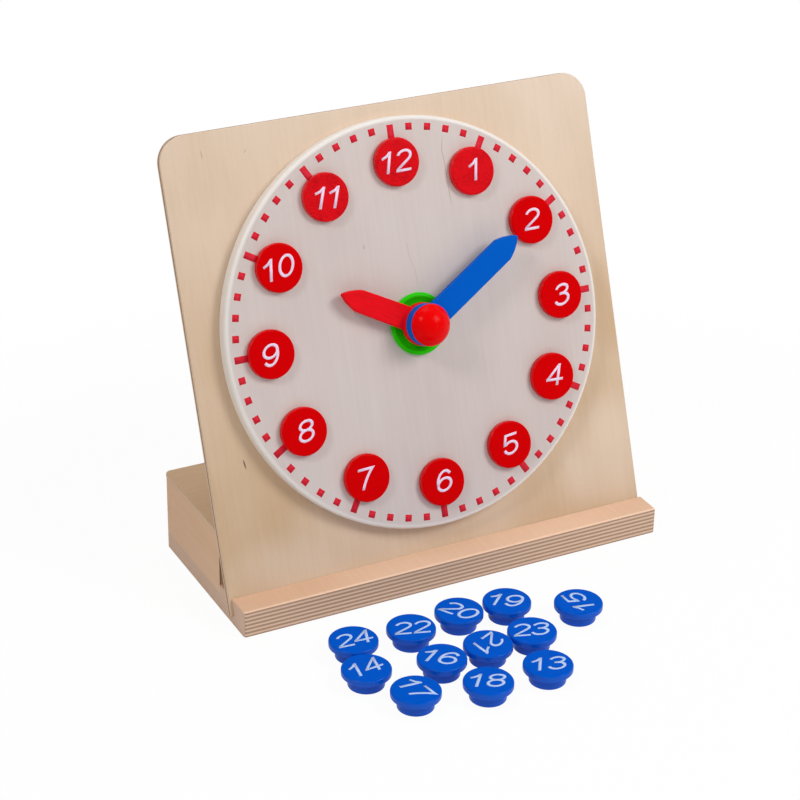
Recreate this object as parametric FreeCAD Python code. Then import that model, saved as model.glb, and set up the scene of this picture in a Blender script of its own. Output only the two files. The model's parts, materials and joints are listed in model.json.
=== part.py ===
import FreeCAD, Part
import math
import os

# Geared teaching clock. Millimetres, +Z up, X along the panel to the right, Y away from the viewer.
# The origin is the middle of the base board's underside. Pieces on the leaning panel are modelled in the
# dial's own frame: x right, y up along the panel, z out of the dial's face, zero at the dial's centre.

# Base board
base_past_panel = 0.4
base_depth = 125.0
base_thickness = 18.0
base_corner_radius = 2.0
base_edge_radius = 0.8
ledge_width = 19.3
groove_depth = 10.7
groove_clearance = 0.15
rebate_floor = 12.5

# Face panel
lean_deg = 20.0
panel_width = 301.0
panel_height = 300.0
panel_thickness = 5.0
panel_offset_x = -2.1
panel_corner_radius = 17.0
panel_edge_radius = 0.6

# Dial
dial_radius = 132.0
dial_thickness = 9.5
dial_offset_x = -0.7
dial_rise = 147.9
dial_front_round = 2.5
dial_back_round = 0.8
disc_ring_inset = 28.4
hour_count = 12

# Number discs
disc_flange_radius = 15.5
disc_flange_thickness = 4.3
disc_flange_front_round = 1.3
disc_flange_back_round = 0.6
disc_spigot_radius = 11.5
disc_spigot_length = 7.9
disc_spigot_round = 0.8
disc_hole_clearance = 0.3
disc_seat_gap = 0.2
# Where the loose discs lie, right of the base's middle and before its front edge, in disc radii
blue_disc_place_shares = {
    13: (-0.26, 7.87),
    14: (-6.78, 5.05),
    15: (3.15, 4.48),
    16: (-3.79, 5.68),
    17: (-5.74, 7.22),
    18: (-2.94, 7.90),
    19: (0.56, 3.14),
    20: (-1.55, 2.94),
    21: (-1.68, 5.60),
    22: (-3.87, 3.21),
    23: (0.37, 5.52),
    24: (-6.34, 3.02),
}

# Storage box behind the panel
box_height = 53.3
wall_thickness = 9.0
front_wall_thickness = 6.0
wall_edge_radius = 0.8
box_panel_gap = 0.2
notch_radius = 11.0
lid_thickness = 3.0
lid_overhang = 0.6
lid_corner_radius = 4.0
lid_edge_radius = 0.8
lid_gap = 0.15
lid_panel_gap = 0.4
batten_width = 8.0
batten_height = 5.0
batten_side_gap = 0.5
batten_front_gap = 1.5
batten_back_gap = 7.0

# Centre collar and its nut
collar_radius = 20.0
collar_foot_radius = 18.7
collar_rim_height = 3.4
collar_rim_width = 2.6
collar_side_height = 2.2
collar_dish_height = 1.0
collar_dish_radius = 9.0
collar_neck_radius = 7.5
collar_neck_height = 4.2
sleeve_radius = 6.0
sleeve_hole_clearance = 0.1
nut_sides = 6
nut_across_flats = 19.0
nut_thickness = 4.0
sleeve_past_nut = 0.3
running_clearance = 0.05

# Hands, washer and knob, as heights above the dial's face
washer_radius = 8.0
washer_bore_clearance = 0.3
washer_thickness = 1.0
washer_gap = 0.1
hub_gap = 0.2
hand_gap = 0.3
hand_edge_radius = 0.7
hub_edge_radius = 0.9
hand_tip_round = 1.4
hand_tip_bulge = 0.9
hand_shoulder_round = 3.0
hour_hub_radius = 13.9
hour_hub_height = 5.2
hour_hand_thickness = 3.8
hour_hand_width = 15.8
hour_hand_shoulder_width = 14.4
hour_hand_shoulder = 47.0
hour_hand_length = 60.5
hour_hand_angle_deg = 298.5
minute_hub_radius = 13.5
minute_hub_height = 6.8
minute_hand_thickness = 4.0
minute_hand_width = 16.2
minute_hand_shoulder_width = 16.0
minute_hand_shoulder = 71.4
minute_hand_length = 85.3
minute_hand_angle_deg = 58.3
knob_radius = 13.5
knob_rim_height = 1.2
knob_back_round = 1.0
knob_dome_height = 8.6
knob_bore_depth = 4.2

# Gear train
gear_module = 1.0
pressure_angle_deg = 25.0
tooth_backlash = 0.16
addendum_share = 0.95
dedendum_share = 1.25
flank_steps = 5
minute_pinion_teeth = 15
idler_wheel_teeth = 45
idler_pinion_teeth = 12
hour_wheel_teeth = 48
shaft_radius = 2.5
tube_radius = 4.0
axle_radius = 2.0
hour_wheel_width = 4.0
hour_wheel_gap = 0.5
tube_past_wheel = 0.5
minute_pinion_gap = 0.5
idler_wheel_width = 4.0
wheel_plane_gap = 2.0
pinion_overhang = 1.0
idler_pinion_lead = 0.4
idler_front_hub_radius = 3.6
idler_back_hub_radius = 4.5
idler_end_gap = 0.3
idler_back_hub_length = 1.7
shaft_past_plate = 2.0
axle_past_plate = 1.0

# Gear plates, pillars, cover and screws
plate_thickness = 2.0
plate_half_width = 31.0
plate_half_height = 41.0
plate_corner_radius = 6.0
pillar_radius = 3.2
pillar_half_spacing_x = 24.0
pillar_half_spacing_y = 33.0
cover_wall = 2.0
cover_side_gap = 3.0
cover_back_gap = 1.6
cover_corner_radius = 8.0
flange_width = 8.0
flange_corner_radius = 10.0
cover_screw_inset = 6.0
screw_radius = 1.5
screw_head_radius = 3.0
screw_head_height = 1.8
screw_bite = 3.0
dial_screw_ring = 80.0
dial_screw_radius = 1.75
dial_screw_bite = 5.5
dial_screw_count = 4

# One overrun for every cut that passes through
overrun = 1.0

lean = math.radians(lean_deg)
base_width = panel_width + base_past_panel
panel_below_dial = dial_rise + groove_depth
panel_above_dial = panel_height - panel_below_dial
panel_front = -dial_thickness
panel_back = panel_front - panel_thickness
disc_ring_radius = dial_radius - disc_ring_inset
ledge_back_y = ledge_width - base_depth / 2
dial_y = ledge_back_y + dial_rise * math.sin(lean) - dial_thickness * math.cos(lean)
dial_z = base_thickness + dial_rise * math.cos(lean) + dial_thickness * math.sin(lean)
dial_place = FreeCAD.Placement(
    FreeCAD.Vector(dial_offset_x, dial_y, dial_z),
    FreeCAD.Rotation(FreeCAD.Vector(1, 0, 0), 90 - lean_deg),
)


def save(name, shape):
    shape.exportStep("parts/" + name + ".step")


def on_dial(shape):
    """Carries a shape from the dial's frame to its place on the clock."""
    placed = shape.copy()
    placed.Placement = dial_place.multiply(placed.Placement)
    return placed


def vector(x, y, z=0):
    return FreeCAD.Vector(x, y, z)


def block(x0, x1, y0, y1, z0, z1):
    return Part.makeBox(x1 - x0, y1 - y0, z1 - z0, vector(x0, y0, z0))


def rod(radius, z0, z1, x=0, y=0):
    return Part.makeCylinder(radius, z1 - z0, vector(x, y, z0))


def tube(outer, inner, z0, z1, x=0, y=0):
    return rod(outer, z0, z1, x, y).cut(rod(inner, z0, z1, x, y))


def polygon(points):
    """A flat face with straight sides through the points, in order."""
    return Part.Face(Part.makePolygon(points + points[:1]))


def rounded_plate(half_x, half_y, radius, z0, z1, y_middle=0):
    """A flat plate with four round corners."""
    plate = block(-half_x, half_x, y_middle - half_y, y_middle + half_y, z0, z1)
    uprights = [edge for edge in plate.Edges if is_upright(edge)]
    return plate.makeFillet(radius, uprights)


def is_upright(edge):
    start, end = edge.Vertexes[0].Point, edge.Vertexes[-1].Point
    return abs(start.x - end.x) + abs(start.y - end.y) < Part.Precision.confusion()


def uprights_beyond(shape, y):
    """The upright edges of a shape that stand past a place along y."""
    return [edge for edge in shape.Edges if is_upright(edge) and edge.Vertexes[0].Y > y]


def edges_at_height(shape, z):
    """The edges of a shape that lie wholly at one height."""
    chosen = []
    for edge in shape.Edges:
        box = edge.BoundBox
        if abs(box.ZMin - z) + abs(box.ZMax - z) < overrun / 100:
            chosen.append(edge)
    return chosen


def turned(points_and_arcs):
    """A solid of revolution about z from a closed chain of edges in the xz plane."""
    face = Part.Face(Part.Wire(points_and_arcs))
    solid = face.revolve(vector(0, 0), vector(0, 0, 1), 360)
    return Part.makeSolid(Part.makeShell(solid.Faces)) if solid.ShapeType != "Solid" else solid


def line(x0, z0, x1, z1):
    return Part.LineSegment(vector(x0, 0, z0), vector(x1, 0, z1)).toShape()


def quarter(x_middle, z_middle, radius, start_deg):
    """A quarter circle in the xz plane, anticlockwise from start_deg."""
    points = []
    for angle_deg in (start_deg, start_deg + 45, start_deg + 90):
        angle = math.radians(angle_deg)
        points.append(vector(x_middle + radius * math.cos(angle), 0, z_middle + radius * math.sin(angle)))
    return Part.Arc(points[0], points[1], points[2]).toShape()


def panel_back_y(z):
    """Where the panel's back face stands at a height above the floor."""
    return ledge_back_y + (z - base_thickness) * math.tan(lean) + panel_thickness / math.cos(lean)


# Storage box sizes that several pieces share
box_front_y = panel_back_y(box_height) + box_panel_gap
box_back_y = base_depth / 2
half_width = base_width / 2
inner_half_width = half_width - wall_thickness
inner_back_y = box_back_y - wall_thickness
inner_front_y = box_front_y + front_wall_thickness

# Places along the dial's axis behind the panel, front to back
front_plate_back = panel_back - plate_thickness
nut_back = front_plate_back - nut_thickness
sleeve_back = nut_back - sleeve_past_nut
hour_wheel_front = sleeve_back - hour_wheel_gap
hour_wheel_back = hour_wheel_front - hour_wheel_width
tube_back = hour_wheel_back - tube_past_wheel
minute_pinion_front = tube_back - minute_pinion_gap
idler_wheel_front = hour_wheel_back - wheel_plane_gap
idler_wheel_back = idler_wheel_front - idler_wheel_width
minute_pinion_back = idler_wheel_back - pinion_overhang
idler_back = idler_wheel_back - idler_back_hub_length
rear_plate_front = idler_back - idler_end_gap
rear_plate_back = rear_plate_front - plate_thickness
shaft_back = rear_plate_back - shaft_past_plate
cover_inside = min(shaft_back, rear_plate_back - screw_head_height) - cover_back_gap
cover_outside = cover_inside - cover_wall

# Places in front of the dial
washer_front = collar_neck_height + washer_gap + washer_thickness
hour_hand_back = washer_front + hub_gap
hour_hub_front = hour_hand_back + hour_hub_height
minute_hand_back = hour_hub_front + hand_gap
minute_hub_front = minute_hand_back + minute_hub_height
shaft_front = minute_hub_front + knob_bore_depth

# Gear centres
centre_distance = gear_module * (minute_pinion_teeth + idler_wheel_teeth) / 2
idler_y = -centre_distance
plate_middle_y = idler_y / 2
pillar_places = [
    (side * pillar_half_spacing_x, plate_middle_y + rise * pillar_half_spacing_y)
    for side in (-1, 1)
    for rise in (-1, 1)
]
cover_half_width = plate_half_width + cover_side_gap + cover_wall
cover_half_height = plate_half_height + cover_side_gap + cover_wall
flange_half_width = cover_half_width + flange_width
flange_half_height = cover_half_height + flange_width
cover_screw_x = flange_half_width - cover_screw_inset
cover_screw_rise = flange_half_height - cover_screw_inset
cover_screw_places = [
    (side * cover_screw_x, plate_middle_y + rise * cover_screw_rise)
    for side in (-1, 1)
    for rise in (-1, 1)
]
dial_screw_places = []
for number in range(dial_screw_count):
    turn = 2 * math.pi * (number + 1 / 2) / dial_screw_count
    dial_screw_places.append((dial_screw_ring * math.cos(turn), dial_screw_ring * math.sin(turn)))


def hour_place(hour):
    """The centre of an hour's disc on the dial."""
    turn = 2 * math.pi * hour / hour_count
    return disc_ring_radius * math.sin(turn), disc_ring_radius * math.cos(turn)


def build_base():
    """Base board with the panel's groove and the rebates that the box walls stand in."""
    board = block(-half_width, half_width, -base_depth / 2, base_depth / 2, 0, base_thickness)
    board = board.makeFillet(base_corner_radius, [edge for edge in board.Edges if is_upright(edge)])
    rims = edges_at_height(board, 0) + edges_at_height(board, base_thickness)
    board = board.makeFillet(base_edge_radius, rims)
    groove = block(
        -base_width,
        base_width,
        -panel_below_dial,
        -dial_rise + base_thickness,
        panel_back - groove_clearance,
        panel_front + groove_clearance,
    )
    board = board.cut(on_dial(groove))
    for side in (-1, 1):
        inner, outer = side * inner_half_width, side * (half_width + overrun)
        board = board.cut(
            block(
                min(inner, outer),
                max(inner, outer),
                box_front_y,
                box_back_y + overrun,
                rebate_floor,
                base_thickness + overrun,
            )
        )
    board = board.cut(
        block(
            -half_width,
            half_width,
            inner_back_y,
            box_back_y + overrun,
            rebate_floor,
            base_thickness + overrun,
        )
    )
    return board


def build_panel():
    """Face panel, drilled for the collar's sleeve and every screw."""
    shift = panel_offset_x - dial_offset_x
    half = panel_width / 2
    panel = block(shift - half, shift + half, -panel_below_dial, panel_above_dial, panel_back, panel_front)
    panel = panel.makeFillet(panel_corner_radius, uprights_beyond(panel, panel_above_dial - overrun))
    rims = edges_at_height(panel, panel_front) + edges_at_height(panel, panel_back)
    panel = panel.makeFillet(panel_edge_radius, rims)
    panel = panel.cut(rod(sleeve_radius + sleeve_hole_clearance, panel_back - overrun, panel_front + overrun))
    for x, y in dial_screw_places:
        panel = panel.cut(rod(dial_screw_radius, panel_back - overrun, panel_front + overrun, x, y))
    for x, y in pillar_places + cover_screw_places:
        panel = panel.cut(rod(screw_radius, panel_back - overrun, panel_back + screw_bite, x, y))
    return panel


def build_dial():
    """Dial with twelve through holes for the number discs."""
    dial = rod(dial_radius, panel_front, 0)
    dial = dial.makeFillet(dial_front_round, edges_at_height(dial, 0))
    dial = dial.makeFillet(dial_back_round, edges_at_height(dial, panel_front))
    dial = dial.cut(rod(sleeve_radius + sleeve_hole_clearance, panel_front - overrun, overrun))
    for hour in range(1, hour_count + 1):
        x, y = hour_place(hour)
        dial = dial.cut(rod(disc_spigot_radius + disc_hole_clearance, panel_front - overrun, overrun, x, y))
    for x, y in dial_screw_places:
        dial = dial.cut(rod(dial_screw_radius, panel_front - overrun, panel_front + dial_screw_bite, x, y))
    return dial


def build_disc():
    """Number disc standing on its spigot's end at the origin."""
    spigot, flange, length = disc_spigot_radius, disc_flange_radius, disc_spigot_length
    top = length + disc_flange_thickness
    front, back, end = disc_flange_front_round, disc_flange_back_round, disc_spigot_round
    return turned(
        [
            line(0, 0, spigot - end, 0),
            quarter(spigot - end, end, end, 270),
            line(spigot, end, spigot, length),
            line(spigot, length, flange - back, length),
            quarter(flange - back, length + back, back, 270),
            line(flange, length + back, flange, top - front),
            quarter(flange - front, top - front, front, 0),
            line(flange - front, top, 0, top),
            line(0, top, 0, 0),
        ]
    )


def build_side_wall(side):
    """A box wall at the left or right end, standing in the base's rebate."""
    inner, outer = side * inner_half_width, side * half_width
    wall = block(min(inner, outer), max(inner, outer), box_front_y, box_back_y, rebate_floor, box_height)
    backs = uprights_beyond(wall, box_back_y - overrun)
    outer_back = [edge for edge in backs if abs(edge.Vertexes[0].X - outer) < overrun]
    wall = wall.makeFillet(base_corner_radius, outer_back)
    return wall.makeFillet(wall_edge_radius, edges_at_height(wall, box_height))


def build_back_wall():
    """The box's back wall, with a finger notch under the lid."""
    wall = block(-inner_half_width, inner_half_width, inner_back_y, box_back_y, rebate_floor, box_height)
    notch = Part.makeCylinder(
        notch_radius,
        wall_thickness + 2 * overrun,
        vector(0, inner_back_y - overrun, box_height),
        vector(0, 1, 0),
    )
    return wall.cut(notch)


def build_front_wall():
    return block(-inner_half_width, inner_half_width, box_front_y, inner_front_y, base_thickness, box_height)


def build_lid():
    """Thin lid with round corners, lying on the box walls."""
    low = box_height + lid_gap
    high = low + lid_thickness
    front_y = panel_back_y(high) + lid_panel_gap
    half = half_width + lid_overhang
    lid = block(-half, half, front_y, box_back_y + lid_overhang, low, high)
    lid = lid.makeFillet(lid_corner_radius, [edge for edge in lid.Edges if is_upright(edge)])
    return lid.makeFillet(lid_edge_radius, edges_at_height(lid, low) + edges_at_height(lid, high))


def build_battens():
    """Two strips under the lid that keep it between the walls."""
    high = box_height + lid_gap
    battens = []
    for side in (-1, 1):
        outer = side * (inner_half_width - batten_side_gap)
        inner = outer - side * batten_width
        battens.append(
            block(
                min(inner, outer),
                max(inner, outer),
                inner_front_y + batten_front_gap,
                inner_back_y - batten_back_gap,
                high - batten_height,
                high,
            )
        )
    return Part.makeCompound(battens)


def build_collar():
    """Green collar: a dished flange on the dial with a sleeve that passes through the panel."""
    bore = tube_radius + running_clearance
    rim_outer, rim_inner = collar_radius, collar_radius - collar_rim_width
    crest_x = rim_outer - collar_rim_width / 3
    crest_z = (3 * collar_rim_height + collar_side_height) / 4
    rim_top = Part.Arc(
        vector(rim_outer, 0, collar_side_height),
        vector(crest_x, 0, crest_z),
        vector(rim_inner, 0, collar_rim_height),
    ).toShape()
    dish = Part.Arc(
        vector(rim_inner, 0, collar_rim_height),
        vector(
            (rim_inner + collar_dish_radius) / 2,
            0,
            (collar_rim_height + 3 * collar_dish_height) / 4,
        ),
        vector(collar_dish_radius, 0, collar_dish_height),
    ).toShape()
    return turned(
        [
            line(bore, sleeve_back, sleeve_radius, sleeve_back),
            line(sleeve_radius, sleeve_back, sleeve_radius, 0),
            line(sleeve_radius, 0, collar_foot_radius, 0),
            line(collar_foot_radius, 0, rim_outer, collar_side_height),
            rim_top,
            dish,
            line(collar_dish_radius, collar_dish_height, collar_neck_radius, collar_neck_height),
            line(collar_neck_radius, collar_neck_height, bore, collar_neck_height),
            line(bore, collar_neck_height, bore, sleeve_back),
        ]
    )


def build_nut():
    """Hexagon nut on the collar's sleeve, clamping plate, panel and dial."""
    corner = nut_across_flats / 2 / math.cos(math.pi / nut_sides)
    points = []
    for side in range(nut_sides):
        turn = 2 * math.pi * side / nut_sides
        points.append(vector(corner * math.cos(turn), corner * math.sin(turn), nut_back))
    nut = polygon(points).extrude(vector(0, 0, nut_thickness))
    return nut.cut(rod(sleeve_radius, nut_back - overrun, front_plate_back + overrun))


def hand_outline(width, shoulder_width, shoulder, length, z):
    """A hand's outline along +y: a strap that tapers to its shoulder, then a point with bulging sides."""
    point = vector(0, length, z)
    lean_in = math.atan2(shoulder_width / 2, length - shoulder)
    sides = {}
    for side in (-1, 1):
        heel = vector(side * width / 2, 0, z)
        corner = vector(side * shoulder_width / 2, shoulder, z)
        bulge_x = side * (shoulder_width / 4 + hand_tip_bulge * math.cos(lean_in))
        bulge = vector(bulge_x, (shoulder + length) / 2 + hand_tip_bulge * math.sin(lean_in), z)
        sides[side] = heel, Part.LineSegment(heel, corner).toShape(), Part.Arc(corner, bulge, point).toShape()
    right_heel, right_strap, right_tip = sides[1]
    left_heel, left_strap, left_tip = sides[-1]
    heel_line = Part.LineSegment(left_heel, right_heel).toShape()
    return Part.Face(Part.Wire([heel_line, right_strap, right_tip, left_tip, left_strap]))


def build_hand(outline, thickness, hub_radius, hub_height, bore, angle_deg):
    """A hand along +y with a round hub, then turned clockwise to its angle."""
    low = outline.BoundBox.ZMin
    strap = outline.extrude(vector(0, 0, thickness))
    tip_y = outline.BoundBox.YMax
    corners = uprights_beyond(strap, overrun)
    shoulders = [edge for edge in corners if edge.Vertexes[0].Y < tip_y - overrun]
    strap = strap.makeFillet(hand_shoulder_round, shoulders)
    strap = strap.makeFillet(hand_tip_round, uprights_beyond(strap, tip_y - overrun))
    strap = strap.makeFillet(hand_edge_radius, edges_at_height(strap, low + thickness))
    hub = rod(hub_radius, low, low + hub_height)
    hub = hub.makeFillet(hub_edge_radius, edges_at_height(hub, low + hub_height))
    hand = hub.fuse(strap).cut(rod(bore, low - overrun, low + hub_height + overrun))
    hand.rotate(vector(0, 0), vector(0, 0, 1), -angle_deg)
    return hand


def build_knob():
    """Domed knob on the minute shaft's front end."""
    low = minute_hub_front
    rim = low + knob_rim_height
    top = rim + knob_dome_height
    back = knob_back_round
    sphere_radius = (knob_radius**2 + knob_dome_height**2) / (2 * knob_dome_height)
    half_turn = math.asin(knob_radius / sphere_radius) / 2
    dome = Part.Arc(
        vector(knob_radius, 0, rim),
        vector(
            sphere_radius * math.sin(half_turn),
            0,
            top - sphere_radius * (1 - math.cos(half_turn)),
        ),
        vector(0, 0, top),
    ).toShape()
    return turned(
        [
            line(shaft_radius, low, knob_radius - back, low),
            quarter(knob_radius - back, low + back, back, 270),
            line(knob_radius, low + back, knob_radius, rim),
            dome,
            line(0, top, 0, shaft_front),
            line(0, shaft_front, shaft_radius, shaft_front),
            line(shaft_radius, shaft_front, shaft_radius, low),
        ]
    )


def involute(angle):
    return math.tan(angle) - angle


def build_gear(teeth, z0, z1, bore, tooth_turn):
    """Spur gear with involute flanks; one tooth is centred at tooth_turn, in radians from +x."""
    pressure = math.radians(pressure_angle_deg)
    pitch_radius = gear_module * teeth / 2
    base_radius = pitch_radius * math.cos(pressure)
    tip_radius = pitch_radius + addendum_share * gear_module
    root_radius = pitch_radius - dedendum_share * gear_module
    start_radius = max(base_radius, root_radius)
    half_tooth = math.pi / (2 * teeth) - tooth_backlash / (4 * pitch_radius) + involute(pressure)
    flank = []
    for step in range(flank_steps + 1):
        radius = start_radius + (tip_radius - start_radius) * step / flank_steps
        flank.append((radius, half_tooth - involute(math.acos(min(1, base_radius / radius)))))
    if root_radius < base_radius:
        flank.insert(0, (root_radius, flank[0][1]))
    points = []
    for tooth in range(teeth):
        middle = tooth_turn + 2 * math.pi * tooth / teeth
        for radius, half in flank:
            points.append(vector(radius * math.cos(middle - half), radius * math.sin(middle - half), z0))
        for radius, half in reversed(flank):
            points.append(vector(radius * math.cos(middle + half), radius * math.sin(middle + half), z0))
    gear = polygon(points).extrude(vector(0, 0, z1 - z0))
    return gear.cut(rod(bore, z0 - overrun, z1 + overrun))


def build_idler():
    """Wheel and pinion moulded in one, with hubs that keep them between the plates."""
    bore = axle_radius + running_clearance
    up = math.pi / 2
    wheel_gap_turn = up + math.pi / idler_wheel_teeth
    pinion_gap_turn = up + math.pi / idler_pinion_teeth
    pinion_front = hour_wheel_front + idler_pinion_lead
    wheel = build_gear(idler_wheel_teeth, idler_wheel_back, idler_wheel_front, bore, wheel_gap_turn)
    pinion = build_gear(idler_pinion_teeth, idler_wheel_front, pinion_front, bore, pinion_gap_turn)
    front_hub = tube(idler_front_hub_radius, bore, pinion_front, front_plate_back - idler_end_gap)
    back_hub = tube(idler_back_hub_radius, bore, idler_back, idler_wheel_back)
    idler = wheel.fuse([pinion, front_hub, back_hub]).removeSplitter()
    idler.translate(vector(0, idler_y))
    return idler


def build_plate(z0, z1, centre_hole):
    """A gear plate with its centre hole, axle hole and screw holes."""
    plate = rounded_plate(plate_half_width, plate_half_height, plate_corner_radius, z0, z1, plate_middle_y)
    plate = plate.cut(rod(centre_hole, z0 - overrun, z1 + overrun))
    plate = plate.cut(rod(axle_radius, z0 - overrun, z1 + overrun, 0, idler_y))
    for x, y in pillar_places:
        plate = plate.cut(rod(screw_radius, z0 - overrun, z1 + overrun, x, y))
    return plate


def build_cover():
    """Open-fronted cover over the gears, with a screwed flange."""
    outer = rounded_plate(
        cover_half_width, cover_half_height, cover_corner_radius, cover_outside, panel_back, plate_middle_y
    )
    flange = rounded_plate(
        flange_half_width,
        flange_half_height,
        flange_corner_radius,
        panel_back - cover_wall,
        panel_back,
        plate_middle_y,
    )
    inner = rounded_plate(
        cover_half_width - cover_wall,
        cover_half_height - cover_wall,
        cover_corner_radius - cover_wall,
        cover_inside,
        panel_back + overrun,
        plate_middle_y,
    )
    outer = outer.makeFillet(cover_wall, edges_at_height(outer, cover_outside))
    cover = outer.fuse(flange).cut(inner)
    for x, y in cover_screw_places:
        cover = cover.cut(rod(screw_radius, panel_back - cover_wall - overrun, panel_back + overrun, x, y))
    return cover.removeSplitter()


def build_screws(places, head_z, shank_end, shank_radius, head_radius):
    """Screws driven forwards from head_z, as separate solids."""
    screws = []
    for x, y in places:
        head = rod(head_radius, head_z - screw_head_height, head_z, x, y)
        head = head.makeFillet(screw_head_height / 2, edges_at_height(head, head_z - screw_head_height))
        shank = rod(shank_radius, head_z, shank_end, x, y)
        slot = block(
            x - head_radius,
            x + head_radius,
            y - screw_head_height / 4,
            y + screw_head_height / 4,
            head_z - screw_head_height - overrun,
            head_z - screw_head_height / 2,
        )
        screws.append(head.fuse(shank).cut(slot).removeSplitter())
    return Part.makeCompound(screws)


def build_pillars():
    pillars = []
    for x, y in pillar_places:
        pillars.append(tube(pillar_radius, screw_radius, rear_plate_front, front_plate_back, x, y))
    return Part.makeCompound(pillars)


# Stand
save("base_board", build_base())
save("face_panel", on_dial(build_panel()))
save("box_wall_left", build_side_wall(-1))
save("box_wall_right", build_side_wall(1))
save("box_wall_front", build_front_wall())
save("box_wall_back", build_back_wall())
save("lid", build_lid())
save("lid_battens", build_battens())

# Dial and centre
save("dial", on_dial(build_dial()))
save("dial_screws", on_dial(build_screws(
    dial_screw_places, panel_back, panel_front + dial_screw_bite, dial_screw_radius, screw_head_radius
)))
save("centre_collar", on_dial(build_collar()))
save("collar_nut", on_dial(build_nut()))
save("hour_washer", on_dial(tube(
    washer_radius, tube_radius + washer_bore_clearance, collar_neck_height + washer_gap, washer_front
)))

# Hands
save("hour_hand", on_dial(build_hand(
    hand_outline(
        hour_hand_width, hour_hand_shoulder_width, hour_hand_shoulder, hour_hand_length, hour_hand_back
    ),
    hour_hand_thickness, hour_hub_radius, hour_hub_height, tube_radius, hour_hand_angle_deg,
)))
save("minute_hand", on_dial(build_hand(
    hand_outline(
        minute_hand_width,
        minute_hand_shoulder_width,
        minute_hand_shoulder,
        minute_hand_length,
        minute_hand_back,
    ),
    minute_hand_thickness, minute_hub_radius, minute_hub_height, shaft_radius, minute_hand_angle_deg,
)))
save("knob", on_dial(build_knob()))

# Gear train
down = -math.pi / 2
save("minute_shaft", on_dial(rod(shaft_radius, shaft_back, shaft_front)))
save("minute_pinion", on_dial(build_gear(
    minute_pinion_teeth, minute_pinion_back, minute_pinion_front, shaft_radius, down
)))
save("hour_tube", on_dial(tube(tube_radius, shaft_radius + running_clearance, tube_back, hour_hub_front)))
save("hour_wheel", on_dial(build_gear(
    hour_wheel_teeth, hour_wheel_back, hour_wheel_front, tube_radius, down
)))
save("idler_gear", on_dial(build_idler()))
save("idler_axle", on_dial(rod(axle_radius, rear_plate_back - axle_past_plate, panel_back, 0, idler_y)))

# Gear plates and cover
save("front_plate", on_dial(build_plate(front_plate_back, panel_back, sleeve_radius)))
save("rear_plate", on_dial(build_plate(rear_plate_back, rear_plate_front, shaft_radius + running_clearance)))
save("plate_pillars", on_dial(build_pillars()))
save("plate_screws", on_dial(build_screws(
    pillar_places, rear_plate_back, panel_back + screw_bite, screw_radius, screw_head_radius
)))
save("gear_cover", on_dial(build_cover()))
save("cover_screws", on_dial(build_screws(
    cover_screw_places, panel_back - cover_wall, panel_back + screw_bite, screw_radius, screw_head_radius
)))

# Number discs
disc = build_disc()
for hour in range(1, hour_count + 1):
    x, y = hour_place(hour)
    plugged = disc.copy()
    plugged.translate(vector(x, y, disc_seat_gap - disc_spigot_length))
    save("red_disc_%02d" % hour, on_dial(plugged))
for number, (x_share, y_share) in blue_disc_place_shares.items():
    loose = disc.copy()
    loose.translate(vector(x_share * disc_flange_radius, -base_depth / 2 - y_share * disc_flange_radius))
    save("blue_disc_%02d" % number, loose)
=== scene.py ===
"""Looks of a geared teaching clock with a leaning plywood panel, loose number discs and a storage box.

All lengths are metres in the row frame: X to the viewer's right, Y away from the viewer and Z up.
"""

from __future__ import annotations

import json
import logging
import math
from dataclasses import dataclass, field
from enum import Enum
from typing import Iterable, Protocol, Sequence

import bpy
import numpy as np
from mathutils import Matrix, Vector

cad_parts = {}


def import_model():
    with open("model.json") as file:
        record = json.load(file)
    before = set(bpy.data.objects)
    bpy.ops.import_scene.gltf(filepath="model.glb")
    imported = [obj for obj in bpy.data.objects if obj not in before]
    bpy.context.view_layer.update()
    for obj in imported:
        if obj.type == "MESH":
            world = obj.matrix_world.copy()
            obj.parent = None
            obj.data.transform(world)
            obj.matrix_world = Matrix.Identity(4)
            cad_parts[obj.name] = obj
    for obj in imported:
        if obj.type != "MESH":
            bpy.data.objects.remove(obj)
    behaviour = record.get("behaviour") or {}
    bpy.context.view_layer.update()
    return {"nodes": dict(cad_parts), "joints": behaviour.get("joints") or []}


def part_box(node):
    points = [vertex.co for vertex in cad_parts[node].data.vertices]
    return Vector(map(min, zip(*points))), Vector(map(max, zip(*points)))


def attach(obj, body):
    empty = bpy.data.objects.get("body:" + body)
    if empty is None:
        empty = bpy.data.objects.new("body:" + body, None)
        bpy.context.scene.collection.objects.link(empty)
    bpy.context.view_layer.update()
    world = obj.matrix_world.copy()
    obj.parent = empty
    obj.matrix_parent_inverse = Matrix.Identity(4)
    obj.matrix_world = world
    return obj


LOG = logging.getLogger("teaching_clock")
MM = 0.001
Colour = tuple[float, float, float]
WHITE: Colour = (1.0, 1.0, 1.0)
# Degrees between the points of an arc, and the fewest steps that one has.
ARC_STEP = 9.0
ARC_LEAST = 6


def srgb(red: float, green: float, blue: float) -> Colour:
    """Linear colour of an sRGB triple given from 0 to 255.

    Args:
        red: red, 0 to 255.
        green: green, 0 to 255.
        blue: blue, 0 to 255.

    Returns:
        The three linear values.
    """
    shares = (channel / 255 for channel in (red, green, blue))
    return tuple(s / 12.92 if s <= 0.04045 else ((s + 0.055) / 1.055) ** 2.4 for s in shares)


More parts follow.
